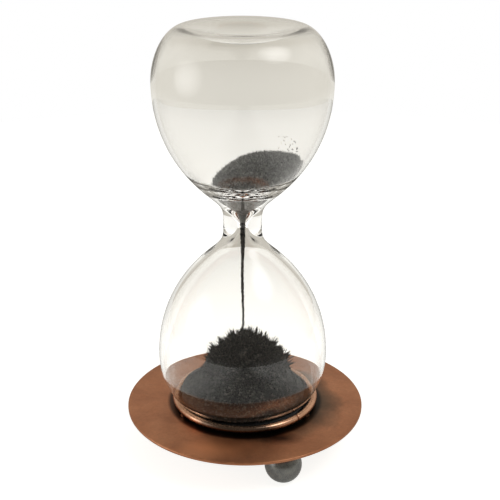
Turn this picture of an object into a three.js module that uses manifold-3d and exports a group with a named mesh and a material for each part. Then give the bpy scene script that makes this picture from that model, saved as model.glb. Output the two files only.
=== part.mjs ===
// Magnetic hourglass desk sculpture.
//
// A blown glass hourglass holding iron filings stands loose inside a wire collar on a thin round
// base plate. A ferrite disc under the plate pulls the filings in the lower bulb into a spiked
// mound. The plate stands on three steel balls. To restart it, the glass is lifted out, turned
// over and set back in the collar.
//
// Millimetres, +Z up. The origin is on the floor, on the vertical axis of the base plate.

import * as THREE from 'three';
import { mergeVertices } from 'three/addons/utils/BufferGeometryUtils.js';
import Module from 'manifold-3d';

const wasm = await Module();
wasm.setup();

// ---------------------------------------------------------------- driving dimensions

const GAP = 0.3; // left between pieces that touch

// Base
const PLATE_RADIUS = 50;
const PLATE_THICKNESS = 1.2;
const PLATE_EDGE_ROUND = 0.35;

// Ball feet: a flat is ground where the ball meets the floor and where it meets the plate
const FOOT_BALL_RADIUS = 7.5;
const FOOT_CENTRE_HEIGHT = 7.4;
const FOOT_TOP_HEIGHT = 14.6;
const FOOT_CIRCLE_RADIUS = 40;
const FOOT_FIRST_ANGLE = -67.5; // degrees from +X
const STUD_RADIUS = 1.5;
const STUD_HOLE_RADIUS = 1.8;
const STUD_HOLE_DEPTH = 6.5;
const STUD_LENGTH = 6;

// Ferrite disc glued under the plate
const MAGNET_RADIUS = 20;
const MAGNET_THICKNESS = 6;
const MAGNET_CHAMFER = 0.5;

// Wire collar that keeps the glass in place
const COLLAR_WIRE_RADIUS = 1.5;
const COLLAR_RADIUS = 29.4; // to the middle of the wire
const COLLAR_HEIGHT = 2.4; // middle of the wire above the plate
const COLLAR_JOINT_ANGLE = -44; // where the two ends of the wire meet
const COLLAR_JOINT_GAP = 0.4;
const PEG_FIRST_ANGLE = -30;
const PEG_HEAD_RADIUS = 1.4;
const PEG_HEAD_HEIGHT = 1.5;
const PEG_SHANK_RADIUS = 1.0;
const PEG_HOLE_RADIUS = 1.3;
const PEG_RIVET_RADIUS = 1.8;
const PEG_RIVET_END_RADIUS = 1.4;
const PEG_RIVET_HEIGHT = 0.8;

// Felt ring under the foot of the glass
const PAD_INNER_RADIUS = 17;
const PAD_OUTER_RADIUS = 25.5;
const PAD_THICKNESS = 0.9;

// Glass. Heights are measured along the axis from the middle of the neck. Outside, both bulbs are
// alike. Inside, the upper one has a shallow dish round its funnel and the lower one has not.
const GLASS_OFFSET_X = -1.0; // the glass stands loose, a little to one side of the collar's centre
const NECK_RADIUS = 7.8;
const NECK_HALF_LENGTH = 2.5;
const FLARE = { radius: 12, height: 10.8 }; // where the neck's fillet runs out into the bulb
const BELLY_RADIUS = 35.1;
const BELLY_HEIGHT = 57.5;
const RIM_RADIUS = 22.2; // crest of the rim that the glass stands on
const RIM_HEIGHT = 78.8;
const PUNT_HEIGHT = 74.3; // middle of the hollow in each end
const ORIFICE_RADIUS = 1.4;
const ORIFICE_HALF_LENGTH = 0.8;
const FUNNEL_LIP = { radius: 12, height: 16 }; // where the upper funnel opens into the dish
const DISH_EDGE = { radius: 22.64, height: 23.46 };
const LOWER_LIP = { radius: 12, height: 13.6 }; // where the lower funnel runs out into the wall
const WALL_BELLY = 1.45;
const WALL_RIM = 1.1;

// How far the outline's curves run straight on from each of those points
const NECK_REACH = 4;
const CONE_REACH = 29;
const INNER_CONE_REACH = 14.56;
const LOWER_CONE_REACH = 24.5;
const SHOULDER_REACH = 10.5;
const RIM_REACH = 7;
const PUNT_REACH = 6;
const PUNT_FLAT = 9;

// The curves' other handles
const FLARE_START = { radius: 9.2, height: 8.2 };
const FLARE_END = { radius: 16, height: 14.5 };
const FUNNEL_THROAT = { radius: 1.9, height: 5.5 };
const FUNNEL_FLANK = { radius: 6.6, height: 9.6 };
const DISH_FLOOR = { radius: 16, height: 17.2 };
const DISH_FLANK = { radius: 20.6, height: 20.6 };
const INNER_CONE = { radius: 28.68, height: 31.87 };
const LOWER_THROAT = { radius: 2, height: 5 };
const LOWER_FLANK = { radius: 6.5, height: 8.5 };
const LOWER_CONE = { radius: 17, height: 18.2 };

const FILL_HOLE_RADIUS = 2.5;
const FILL_PLUG_RADIUS = 2.2;
const FILL_PLUG_HEAD_RADIUS = 3.4;
const FILL_PLUG_END_RADIUS = 2.4;
const FILL_PLUG_HEAD_HEIGHT = 1.1;

// Filings, from the base plate's top (lower bulb) or the middle of the neck (upper bulb)
const CROWN_TOP = 32.4;
const CROWN_BASE = 23.4;
const CROWN_FLANK = { radius: 11.5, height: 28.4 }; // the outline's two curve handles
const CROWN_TOP_REACH = 6;
const BED_TOP_RADIUS = 14.8;
const BED_SLOPE = { radius: 18.9, height: 17.8 };
const BED_SHOULDER = { radius: 23, height: 11 };
const BED_FOOT = { radius: 25.2, height: 6.8 };
const BED_FLOOR_TOP = 10; // the bed lies on the glass below this height
const UPPER_HEAP_PEAK_X = 10.5; // from the glass axis
const UPPER_HEAP_PEAK_HEIGHT = 27.5;
const UPPER_HEAP_FALL = 0.0165; // drop per square millimetre from the peak
const UPPER_HEAP_REACH = 40;
const STREAM_TOP_RADIUS = 0.95;
const STREAM_WAIST_RADIUS = 0.55;
const STREAM_WAIST_SHARE = 0.35; // of the way down
const STREAM_FOOT_RADIUS = 0.75;

// Facets around a turned piece
const ROUND_LARGE = 64;
const ROUND_GLASS = 32;
const ROUND_MEDIUM = 32;
const ROUND_BALL = 20;
const ROUND_SMALL = 16;
const ROUND_CLEARANCE = 96;

// Facets along an outline
const EDGE_STEPS = 3;
const BALL_STEPS = 10;
const FLARE_STEPS = 4;
const FUNNEL_STEPS = 4;
const DISH_STEPS = 4;
const CONE_STEPS = 8;
const INNER_CONE_STEPS = 6;
const SHOULDER_STEPS = 7;
const INNER_SHOULDER_STEPS = 6;
const PUNT_STEPS = 3;
const HEAP_STEPS = 8;
const CROWN_STEPS = 6;
const WIRE_STEPS = 52;
const WIRE_SECTION_STEPS = 5;
const CLEARANCE_SECTION_STEPS = 16;

// ---------------------------------------------------------------- derived levels

const PLATE_BOTTOM = FOOT_TOP_HEIGHT + GAP;
const PLATE_TOP = PLATE_BOTTOM + PLATE_THICKNESS;
const PAD_BOTTOM = PLATE_TOP + GAP;
const PAD_TOP = PAD_BOTTOM + PAD_THICKNESS;
const NECK_Z = PAD_TOP + GAP + RIM_HEIGHT;

// ---------------------------------------------------------------- geometry helpers

const radians = THREE.MathUtils.degToRad;
const at = (radius, height) => new THREE.Vector2(radius, height);

/** Solid of revolution about +Z from an outline of (radius, height) points, bottom to top. */
function turned(outline, segments) {
  const geometry = new THREE.LatheGeometry(outline, segments);
  geometry.rotateX(Math.PI / 2);
  return geometry;
}

/** Points along a cubic curve between two outline points, without its first point. */
function curve(start, startHandle, endHandle, end, divisions) {
  const bezier = new THREE.CubicBezierCurve(start, startHandle, endHandle, end);
  return bezier.getPoints(divisions).slice(1);
}

/** Points of a circular arc in an outline, angles in degrees from the radius direction. */
function arc(centre, radius, fromAngle, toAngle, divisions) {
  return Array.from({ length: divisions + 1 }, (_, i) => {
    const angle = radians(THREE.MathUtils.lerp(fromAngle, toAngle, i / divisions));
    return at(centre.x + radius * Math.cos(angle), centre.y + radius * Math.sin(angle));
  });
}

/** The three equal places of a piece that repeats around the base. */
function threeAngles(firstAngle) {
  return [0, 120, 240].map((turn) => radians(firstAngle + turn));
}

function toSolid(geometry) {
  const bare = geometry.clone();
  bare.deleteAttribute('normal');
  bare.deleteAttribute('uv');
  const merged = mergeVertices(bare, 1e-4);
  return new wasm.Manifold(new wasm.Mesh({
    numProp: 3,
    vertProperties: new Float32Array(merged.attributes.position.array),
    triVerts: new Uint32Array(merged.index.array),
  }));
}

function toGeometry(solid) {
  const mesh = solid.getMesh();
  const geometry = new THREE.BufferGeometry();
  geometry.setAttribute('position', new THREE.BufferAttribute(mesh.vertProperties, 3));
  geometry.setIndex(new THREE.BufferAttribute(mesh.triVerts, 1));
  geometry.computeVertexNormals();
  return geometry;
}

function placed(geometry, x, y, z) {
  return geometry.clone().translate(x, y, z);
}

function rod(radius, fromZ, toZ, segments) {
  return turned([at(0, fromZ), at(radius, fromZ), at(radius, toZ), at(0, toZ)], segments);
}

function material(color, roughness, metalness, extra = {}) {
  return new THREE.MeshStandardMaterial({ color, roughness, metalness, ...extra });
}

function piece(name, geometry, finish) {
  const mesh = new THREE.Mesh(geometry, finish);
  mesh.name = name;
  return mesh;
}

// ---------------------------------------------------------------- finishes

const antiqueCopper = material(0x8f5a3f, 0.42, 0.9);
const collarCopper = material(0xb27f62, 0.3, 0.95);
const nickel = material(0x8c8c86, 0.25, 1.0);
const ferrite = material(0x2b2b2d, 0.7, 0.1);
const felt = material(0x1b1a19, 0.95, 0.0);
const clearGlass = material(0xf2f1ea, 0.03, 0.0, { transparent: true, opacity: 0.3 });
const ironFilings = material(0x3a3937, 0.6, 0.5);

// ---------------------------------------------------------------- base

function basePlate() {
  const edge = PLATE_RADIUS - PLATE_EDGE_ROUND;
  const disc = toSolid(turned([
    at(0, PLATE_BOTTOM),
    ...arc(at(edge, PLATE_BOTTOM + PLATE_EDGE_ROUND), PLATE_EDGE_ROUND, -90, 0, EDGE_STEPS),
    ...arc(at(edge, PLATE_TOP - PLATE_EDGE_ROUND), PLATE_EDGE_ROUND, 0, 90, EDGE_STEPS),
    at(0, PLATE_TOP),
  ], ROUND_LARGE));
  const drill = rod(PEG_HOLE_RADIUS, PLATE_BOTTOM - 1, PLATE_TOP + 1, ROUND_SMALL);
  const holes = threeAngles(PEG_FIRST_ANGLE).map((angle) => toSolid(
    placed(drill, COLLAR_RADIUS * Math.cos(angle), COLLAR_RADIUS * Math.sin(angle), 0),
  ));
  return toGeometry(holes.reduce((plate, hole) => plate.subtract(hole), disc));
}

/** The bent wire's centre line, which stops short of a full turn at its butt joint. */
class CollarPath extends THREE.Curve {
  getPoint(t) {
    const open = COLLAR_JOINT_GAP / COLLAR_RADIUS;
    const angle = radians(COLLAR_JOINT_ANGLE) + open / 2 + t * (2 * Math.PI - open);
    return new THREE.Vector3(
      COLLAR_RADIUS * Math.cos(angle),
      COLLAR_RADIUS * Math.sin(angle),
      PLATE_TOP + COLLAR_HEIGHT,
    );
  }
}

function collarWire(wireRadius) {
  const section = new THREE.Shape().absarc(0, 0, wireRadius, 0, 2 * Math.PI);
  return new THREE.ExtrudeGeometry(section, {
    steps: WIRE_STEPS,
    curveSegments: WIRE_SECTION_STEPS,
    extrudePath: new CollarPath(),
    bevelEnabled: false,
  });
}

/** Closed ring round the wire, used to cut the saddle in each peg. */
function collarClearance() {
  const middle = at(COLLAR_RADIUS, PLATE_TOP + COLLAR_HEIGHT);
  const section = arc(middle, COLLAR_WIRE_RADIUS + GAP, 0, 360, CLEARANCE_SECTION_STEPS);
  return turned(section, ROUND_CLEARANCE);
}

/** Peg riveted through the plate, with a saddle on top that the wire is brazed into. */
function collarPeg(angle, clearance) {
  const peg = turned([
    at(0, PLATE_BOTTOM - GAP - PEG_RIVET_HEIGHT),
    at(PEG_RIVET_END_RADIUS, PLATE_BOTTOM - GAP - PEG_RIVET_HEIGHT),
    at(PEG_RIVET_RADIUS, PLATE_BOTTOM - GAP),
    at(PEG_SHANK_RADIUS, PLATE_BOTTOM - GAP),
    at(PEG_SHANK_RADIUS, PLATE_TOP + GAP),
    at(PEG_HEAD_RADIUS, PLATE_TOP + GAP),
    at(PEG_HEAD_RADIUS, PLATE_TOP + PEG_HEAD_HEIGHT),
    at(0, PLATE_TOP + PEG_HEAD_HEIGHT),
  ], ROUND_SMALL);
  const x = COLLAR_RADIUS * Math.cos(angle);
  const y = COLLAR_RADIUS * Math.sin(angle);
  return toGeometry(toSolid(placed(peg, x, y, 0)).subtract(clearance));
}

function seatPad() {
  return turned([
    at(PAD_INNER_RADIUS, PAD_BOTTOM),
    at(PAD_OUTER_RADIUS, PAD_BOTTOM),
    at(PAD_OUTER_RADIUS, PAD_TOP),
    at(PAD_INNER_RADIUS, PAD_TOP),
    at(PAD_INNER_RADIUS, PAD_BOTTOM),
  ], ROUND_MEDIUM);
}

function magnet() {
  const top = PLATE_BOTTOM - GAP;
  const bottom = top - MAGNET_THICKNESS;
  return turned([
    at(0, bottom),
    at(MAGNET_RADIUS - MAGNET_CHAMFER, bottom),
    at(MAGNET_RADIUS, bottom + MAGNET_CHAMFER),
    at(MAGNET_RADIUS, top - MAGNET_CHAMFER),
    at(MAGNET_RADIUS - MAGNET_CHAMFER, top),
    at(0, top),
  ], ROUND_MEDIUM);
}

/** Ball with a ground flat at each end and a blind hole for the stud. */
function footBall() {
  const flatAngle = (height) => THREE.MathUtils.radToDeg(
    Math.asin((height - FOOT_CENTRE_HEIGHT) / FOOT_BALL_RADIUS),
  );
  const centre = at(0, FOOT_CENTRE_HEIGHT);
  return turned([
    at(0, 0),
    ...arc(centre, FOOT_BALL_RADIUS, flatAngle(0), flatAngle(FOOT_TOP_HEIGHT), BALL_STEPS),
    at(STUD_HOLE_RADIUS, FOOT_TOP_HEIGHT),
    at(STUD_HOLE_RADIUS, FOOT_TOP_HEIGHT - STUD_HOLE_DEPTH),
    at(0, FOOT_TOP_HEIGHT - STUD_HOLE_DEPTH),
  ], ROUND_BALL);
}

function footStud() {
  return rod(STUD_RADIUS, FOOT_TOP_HEIGHT - STUD_LENGTH, FOOT_TOP_HEIGHT, ROUND_SMALL);
}

// ---------------------------------------------------------------- glass

/** Outside of one bulb, from the neck to the middle of its end. */
function outerHalf() {
  const neck = at(NECK_RADIUS, NECK_HALF_LENGTH);
  const flare = at(FLARE.radius, FLARE.height);
  const belly = at(BELLY_RADIUS, BELLY_HEIGHT);
  const rim = at(RIM_RADIUS, RIM_HEIGHT);
  const punt = at(0, PUNT_HEIGHT);
  const throat = at(neck.x, neck.y + NECK_REACH);
  const flareStart = at(FLARE_START.radius, FLARE_START.height);
  const flareEnd = at(FLARE_END.radius, FLARE_END.height);
  const cone = at(belly.x, belly.y - CONE_REACH);
  const shoulder = at(belly.x, belly.y + SHOULDER_REACH);
  return [
    neck,
    ...curve(neck, throat, flareStart, flare, FLARE_STEPS),
    ...curve(flare, flareEnd, cone, belly, CONE_STEPS),
    ...curve(belly, shoulder, at(rim.x + RIM_REACH, rim.y), rim, SHOULDER_STEPS),
    ...curve(rim, at(rim.x - PUNT_REACH, rim.y), at(PUNT_FLAT, punt.y), punt, PUNT_STEPS),
  ];
}

/** The upper bulb's flank inside: its funnel, the shallow dish round that, and the wall. */
function dishedFlank(orifice, belly, drawnIn) {
  const lip = drawnIn(FUNNEL_LIP);
  const dishEdge = drawnIn(DISH_EDGE);
  const cone = at(belly.x, belly.y - INNER_CONE_REACH);
  return [
    ...curve(orifice, drawnIn(FUNNEL_THROAT), drawnIn(FUNNEL_FLANK), lip, FUNNEL_STEPS),
    ...curve(lip, drawnIn(DISH_FLOOR), drawnIn(DISH_FLANK), dishEdge, DISH_STEPS),
    ...curve(dishEdge, drawnIn(INNER_CONE), cone, belly, INNER_CONE_STEPS),
  ];
}

/** The lower bulb's flank inside: its funnel, which runs out into the wall. */
function plainFlank(orifice, belly, drawnIn) {
  const lip = drawnIn(LOWER_LIP);
  const cone = at(belly.x, belly.y - LOWER_CONE_REACH);
  return [
    ...curve(orifice, drawnIn(LOWER_THROAT), drawnIn(LOWER_FLANK), lip, FUNNEL_STEPS),
    ...curve(lip, drawnIn(LOWER_CONE), cone, belly, CONE_STEPS),
  ];
}

/** Inside of one bulb, drawn in by inset, from the orifice to the middle of its end. */
function innerHalf(flank, inset = 0) {
  const drawnIn = ({ radius, height }) => at(radius - inset, height + inset);
  const orifice = at(ORIFICE_RADIUS - inset, ORIFICE_HALF_LENGTH + 2 * inset);
  const belly = at(BELLY_RADIUS - WALL_BELLY - inset, BELLY_HEIGHT);
  const rim = at(RIM_RADIUS, RIM_HEIGHT - WALL_RIM - inset);
  const punt = at(0, PUNT_HEIGHT - WALL_RIM - inset);
  const shoulder = at(belly.x, belly.y + SHOULDER_REACH);
  return [
    orifice,
    ...flank(orifice, belly, drawnIn),
    ...curve(belly, shoulder, at(rim.x + RIM_REACH, rim.y), rim, INNER_SHOULDER_STEPS),
    ...curve(rim, at(rim.x - PUNT_REACH, rim.y), at(PUNT_FLAT, punt.y), punt, PUNT_STEPS),
  ];
}

const mirrored = (half) => half.map((p) => at(p.x, -p.y)).reverse();

/** Swaps the axis point at a bulb's end for the edge of the fill hole. */
function withFillHole(halfFromEnd) {
  return [at(FILL_HOLE_RADIUS, halfFromEnd[0].y), ...halfFromEnd.slice(1)];
}

function glassBody() {
  const outerUp = [...withFillHole(mirrored(outerHalf())), ...outerHalf()];
  const innerUp = [...withFillHole(mirrored(innerHalf(plainFlank))), ...innerHalf(dishedFlank)];
  return turned([...outerUp, ...innerUp.reverse(), outerUp[0]], ROUND_GLASS);
}

/** Plug that closes the hole the filings went in by, in the hollow of the lower end. */
function fillPlug() {
  const headTop = -PUNT_HEIGHT - GAP;
  const headBottom = headTop - FILL_PLUG_HEAD_HEIGHT;
  return turned([
    at(0, headBottom),
    at(FILL_PLUG_END_RADIUS, headBottom),
    at(FILL_PLUG_HEAD_RADIUS, headTop - FILL_PLUG_HEAD_HEIGHT / 2),
    at(FILL_PLUG_HEAD_RADIUS, headTop),
    at(FILL_PLUG_RADIUS, headTop),
    at(FILL_PLUG_RADIUS, -PUNT_HEIGHT + WALL_RIM),
    at(0, -PUNT_HEIGHT + WALL_RIM),
  ], ROUND_SMALL);
}

// ---------------------------------------------------------------- filings

/** Height from the middle of the neck of a level given above the plate. */
const fromNeck = (abovePlate) => PLATE_TOP + abovePlate - NECK_Z;

/** The filings still in the upper bulb: a heap leaning to +X over the full funnel. */
function upperFilings() {
  const cavity = toSolid(turned([
    at(0, ORIFICE_HALF_LENGTH + 2 * GAP), ...innerHalf(dishedFlank, GAP),
  ], ROUND_GLASS));
  const surface = Array.from({ length: HEAP_STEPS + 1 }, (_, i) => {
    const r = UPPER_HEAP_REACH * (1 - i / HEAP_STEPS);
    return at(r, UPPER_HEAP_PEAK_HEIGHT - UPPER_HEAP_FALL * r * r);
  });
  const below = surface[0].y - 1;
  const dome = turned([at(0, below), at(UPPER_HEAP_REACH, below), ...surface], ROUND_MEDIUM);
  return toGeometry(cavity.intersect(toSolid(placed(dome, UPPER_HEAP_PEAK_X, 0, 0))));
}

/** The thin stream of falling filings, from the orifice to the top of the mound. */
function stream() {
  const top = ORIFICE_HALF_LENGTH;
  const bottom = fromNeck(CROWN_TOP + GAP);
  return turned([
    at(0, bottom),
    at(STREAM_FOOT_RADIUS, bottom),
    at(STREAM_WAIST_RADIUS, THREE.MathUtils.lerp(top, bottom, STREAM_WAIST_SHARE)),
    at(STREAM_TOP_RADIUS, top),
    at(0, top),
  ], ROUND_SMALL);
}

/** The loose heap on the lower bulb's floor. */
function bed() {
  const floor = mirrored(innerHalf(plainFlank, 2 * GAP))
    .filter((p) => p.x < BED_FOOT.radius && p.y < fromNeck(BED_FLOOR_TOP));
  return turned([
    ...floor,
    at(BED_FOOT.radius, fromNeck(BED_FOOT.height)),
    at(BED_SHOULDER.radius, fromNeck(BED_SHOULDER.height)),
    at(BED_SLOPE.radius, fromNeck(BED_SLOPE.height)),
    at(BED_TOP_RADIUS, fromNeck(CROWN_BASE - GAP)),
    at(0, fromNeck(CROWN_BASE - GAP)),
  ], ROUND_MEDIUM);
}

/** The dome of filings that the magnet stands up in spikes. */
function crown() {
  const foot = at(BED_TOP_RADIUS, fromNeck(CROWN_BASE));
  const flank = at(CROWN_FLANK.radius, fromNeck(CROWN_FLANK.height));
  const top = at(0, fromNeck(CROWN_TOP));
  return turned([
    at(0, foot.y),
    foot,
    ...curve(foot, flank, at(CROWN_TOP_REACH, top.y), top, CROWN_STEPS),
  ], ROUND_MEDIUM);
}

// ---------------------------------------------------------------- assembly

const base = new THREE.Group();
base.add(piece('base_plate', basePlate(), antiqueCopper));
base.add(piece('collar_ring', collarWire(COLLAR_WIRE_RADIUS), collarCopper));
base.add(piece('seat_pad', seatPad(), felt));
base.add(piece('base_magnet', magnet(), ferrite));

const clearance = toSolid(collarClearance());
threeAngles(PEG_FIRST_ANGLE).forEach((angle, i) => {
  base.add(piece(`collar_peg_${i + 1}`, collarPeg(angle, clearance), collarCopper));
});

threeAngles(FOOT_FIRST_ANGLE).forEach((angle, i) => {
  const foot = new THREE.Group();
  foot.position.set(FOOT_CIRCLE_RADIUS * Math.cos(angle), FOOT_CIRCLE_RADIUS * Math.sin(angle), 0);
  foot.add(piece(`foot_ball_${i + 1}`, footBall(), nickel));
  foot.add(piece(`foot_stud_${i + 1}`, footStud(), nickel));
  base.add(foot);
});

const glass = new THREE.Group();
glass.position.set(GLASS_OFFSET_X, 0, NECK_Z);
glass.add(piece('glass_body', glassBody(), clearGlass));
glass.add(piece('fill_plug', fillPlug(), clearGlass));
glass.add(piece('filings_upper', upperFilings(), ironFilings));
glass.add(piece('filings_stream', stream(), ironFilings));
glass.add(piece('filings_crown', crown(), ironFilings));
glass.add(piece('filings_bed', bed(), ironFilings));

const sculpture = new THREE.Group();
sculpture.add(base, glass);

export default sculpture;
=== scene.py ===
import math

import bpy
import numpy as np
from mathutils import Matrix, Vector

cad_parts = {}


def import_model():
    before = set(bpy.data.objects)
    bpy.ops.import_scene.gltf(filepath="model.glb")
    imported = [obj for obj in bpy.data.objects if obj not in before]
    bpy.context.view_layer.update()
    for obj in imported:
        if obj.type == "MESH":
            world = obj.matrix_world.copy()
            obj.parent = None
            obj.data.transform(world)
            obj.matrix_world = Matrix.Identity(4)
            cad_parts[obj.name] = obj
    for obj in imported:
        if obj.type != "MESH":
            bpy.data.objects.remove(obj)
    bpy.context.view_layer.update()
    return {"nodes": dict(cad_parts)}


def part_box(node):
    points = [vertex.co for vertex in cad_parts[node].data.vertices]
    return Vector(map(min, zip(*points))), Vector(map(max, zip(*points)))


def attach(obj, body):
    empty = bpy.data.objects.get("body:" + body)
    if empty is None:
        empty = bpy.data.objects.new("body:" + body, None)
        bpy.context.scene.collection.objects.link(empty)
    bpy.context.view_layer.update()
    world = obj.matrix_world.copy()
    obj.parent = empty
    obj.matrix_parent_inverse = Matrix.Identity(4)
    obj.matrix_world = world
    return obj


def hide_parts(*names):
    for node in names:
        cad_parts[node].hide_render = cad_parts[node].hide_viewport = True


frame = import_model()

MM = 0.001
TURN = 2 * math.pi

# ---------------------------------------------------------------- places from the frame

PLATE_LOW, PLATE_HIGH = (np.array(p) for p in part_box("base_plate"))
RING_LOW, RING_HIGH = (np.array(p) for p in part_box("collar_ring"))
PAD_LOW, PAD_HIGH = (np.array(p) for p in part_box("seat_pad"))
MAGNET_LOW, MAGNET_HIGH = (np.array(p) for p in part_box("base_magnet"))
GLASS_LOW, GLASS_HIGH = (np.array(p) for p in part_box("glass_body"))

PLATE_TOP = PLATE_HIGH[2]
GLASS_X, GLASS_Y, NECK_Z = (GLASS_LOW + GLASS_HIGH) / 2
MOUND_X = GLASS_X + 1.6 * MM  # the crown of filings stands a little to +X
FEET = (1, 2, 3)

# ---------------------------------------------------------------- mesh helpers


def new_piece(name, mesh_data, material, body, stands_for, smooth=True):
    """A mesh object from (points in metres, faces).
    It rides on a CAD body and replaces the nodes that it stands for."""
    points, faces = mesh_data
    mesh = bpy.data.meshes.new(name)
    mesh.from_pydata(np.asarray(points, float).tolist(), [], [list(map(int, f)) for f in faces])
    mesh.update()
    if smooth:
        mesh.shade_smooth()
    else:
        mesh.shade_flat()
    mesh.materials.append(material)
    piece = bpy.data.objects.new(name, mesh)
    bpy.context.scene.collection.objects.link(piece)
    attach(piece, body)
    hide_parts(*stands_for)
    return piece


def join(*parts):
    """One (points, faces) from several."""
    points, faces, start = [], [], 0
    for p, f in parts:
        points.append(np.asarray(p, float))
        faces += [tuple(i + start for i in face) for face in f]
        start += len(p)
    return np.vstack(points), faces


def grid_faces(rows, columns, wrap_rows=False):
    """Quads between neighbouring rows of a grid whose columns close on themselves."""
    r = np.arange(rows if wrap_rows else rows - 1)
    c = np.arange(columns)
    r, c = (a.ravel() for a in np.meshgrid(r, c, indexing="ij"))
    r2, c2 = (r + 1) % rows, (c + 1) % columns
    return np.stack([r * columns + c, r * columns + c2, r2 * columns + c2, r2 * columns + c], 1)


def around(count):
    """Evenly spaced angles of a full turn."""
    return np.linspace(0, TURN, count, endpoint=False)


def turned(outline, segments, centre=(0.0, 0.0), offset=None):
    """(points, faces) of an outline of (radius, height) in metres turned about a vertical axis.
    The outline goes up with the solid on its inner side. It closes on itself, or ends on the axis."""
    outline = np.asarray(outline, float)
    on_axis = outline[:, 0] < 1e-9
    closed = not on_axis.any()
    ring = outline[~on_axis]
    r = np.repeat(ring[:, :1], segments, 1)
    z = np.repeat(ring[:, 1:], segments, 1)
    a = np.repeat(around(segments)[None, :], len(ring), 0)
    if offset is not None:
        dr, dz = offset(r, z, a)
        r, z = r + dr, z + dz
    points = np.stack([centre[0] + r * np.cos(a), centre[1] + r * np.sin(a), z], -1).reshape(-1, 3)
    faces = grid_faces(len(ring), segments, wrap_rows=closed).tolist()
    if not closed:
        for index, row, flip in ((0, 0, True), (-1, len(ring) - 1, False)):
            if not on_axis[index]:
                continue
            pole = len(points)
            points = np.vstack([points, [centre[0], centre[1], outline[index, 1]]])
            for c in range(segments):
                one, two = row * segments + c, row * segments + (c + 1) % segments
                faces.append([pole, two, one] if flip else [pole, one, two])
    return points, faces


def bezier(start, reach, approach, end, steps):
    """Points of a cubic curve after its start."""
    t = np.linspace(0, 1, steps + 1)[1:, None]
    p = [np.array(q, float) for q in (start, reach, approach, end)]
    return (1 - t) ** 3 * p[0] + 3 * (1 - t) ** 2 * t * p[1] + 3 * (1 - t) * t * t * p[2] + t**3 * p[3]


def arc(centre, radius, start, stop, steps):
    """Points of an arc in an outline, angles in degrees."""
    a = np.radians(np.linspace(start, stop, steps + 1))
    return np.stack([centre[0] + radius * np.cos(a), centre[1] + radius * np.sin(a)], 1)


def rounded_disc(low, high, radius, edge, rings_mm, edge_steps, segments):
    """A flat disc with a rounded edge. Its faces are parted into rings at the given radii."""
    outline = [(r * MM, low) for r in rings_mm]
    outline += arc((radius - edge, low + edge), edge, -90, 0, edge_steps).tolist()
    outline += arc((radius - edge, high - edge), edge, 0, 90, edge_steps).tolist()
    outline += [(r * MM, high) for r in reversed(rings_mm)]
    return turned(outline, segments)


# ---------------------------------------------------------------- node helpers


def grey(value):
    """A neutral colour."""
    return (value, value, value)


def give(socket, value):
    """Sets a socket to a number or a colour, or links an output to it."""
    if isinstance(value, (int, float)):
        socket.default_value = value
    elif isinstance(value, tuple):
        socket.default_value = (*value, 1.0)
    else:
        socket.id_data.links.new(value, socket)


class Tree:
    """A short way to write a node tree."""

    def __init__(self, tree):
        self.tree = tree

    def add(self, kind, **settings):
        node = self.tree.nodes.new("ShaderNode" + kind)
        for key, value in settings.items():
            setattr(node, key, value)
        return node

    def ramp(self, fac, *stops):
        """A colour ramp through (position, colour) stops."""
        node = self.add("ValToRGB")
        elements = node.color_ramp.elements
        while len(elements) < len(stops):
            elements.new(0.5)
        for element, (position, colour) in zip(elements, stops):
            element.position = position
            element.color = (*colour, 1.0)
        give(node.inputs["Fac"], fac)
        return node.outputs["Color"]

    def math(self, operation, *values, clamp=False):
        node = self.add("Math", operation=operation, use_clamp=clamp)
        for socket, value in zip(node.inputs, values):
            give(socket, value)
        return node.outputs[0]

    def mix(self, fac, a, b, blend="MIX"):
        node = self.add("Mix", data_type="RGBA", blend_type=blend)
        for socket, value in zip((node.inputs[0], node.inputs[6], node.inputs[7]), (fac, a, b)):
            give(socket, value)
        return node.outputs[2]

    def product(self, a, b):
        """Two colours multiplied."""
        return self.mix(1.0, a, b, "MULTIPLY")

    def apart(self, vector):
        """The X, Y and Z of a vector."""
        node = self.add("SeparateXYZ")
        give(node.inputs[0], vector)
        return node.outputs


class Look(Tree):
    """A new material with its node tree."""

    def __init__(self, name):
        self.material = bpy.data.materials.new(name)
        self.material.use_nodes = True
        super().__init__(self.material.node_tree)
        self.shader = self.tree.nodes["Principled BSDF"]

    def place(self):
        return self.add("TexCoord").outputs["Object"]

    def noise(self, scale, detail, roughness, distortion=0.0):
        node = self.add("TexNoise")
        give(node.inputs["Vector"], self.place())
        give(node.inputs["Scale"], scale)
        give(node.inputs["Detail"], detail)
        give(node.inputs["Roughness"], roughness)
        give(node.inputs["Distortion"], distortion)
        return node.outputs["Fac"]

    def grey_noise(self, noise, low, high, start=0.3, stop=0.7):
        """A noise spread between two greys."""
        return self.ramp(self.noise(*noise), (start, grey(low)), (stop, grey(high)))

    def bump(self, height, strength, distance):
        node = self.add("Bump")
        give(node.inputs["Strength"], strength)
        give(node.inputs["Distance"], distance)
        give(node.inputs["Height"], height)
        give(self.shader.inputs["Normal"], node.outputs["Normal"])

    def set(self, **values):
        """Values of the surface, with _ for each space in a socket's name."""
        for key, value in values.items():
            give(self.shader.inputs[key.replace("_", " ")], value)


# ---------------------------------------------------------------- materials

PER_PLATE = 20.0  # plate radii in a metre, so that a ramp along a radius ends at the plate's edge


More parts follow.
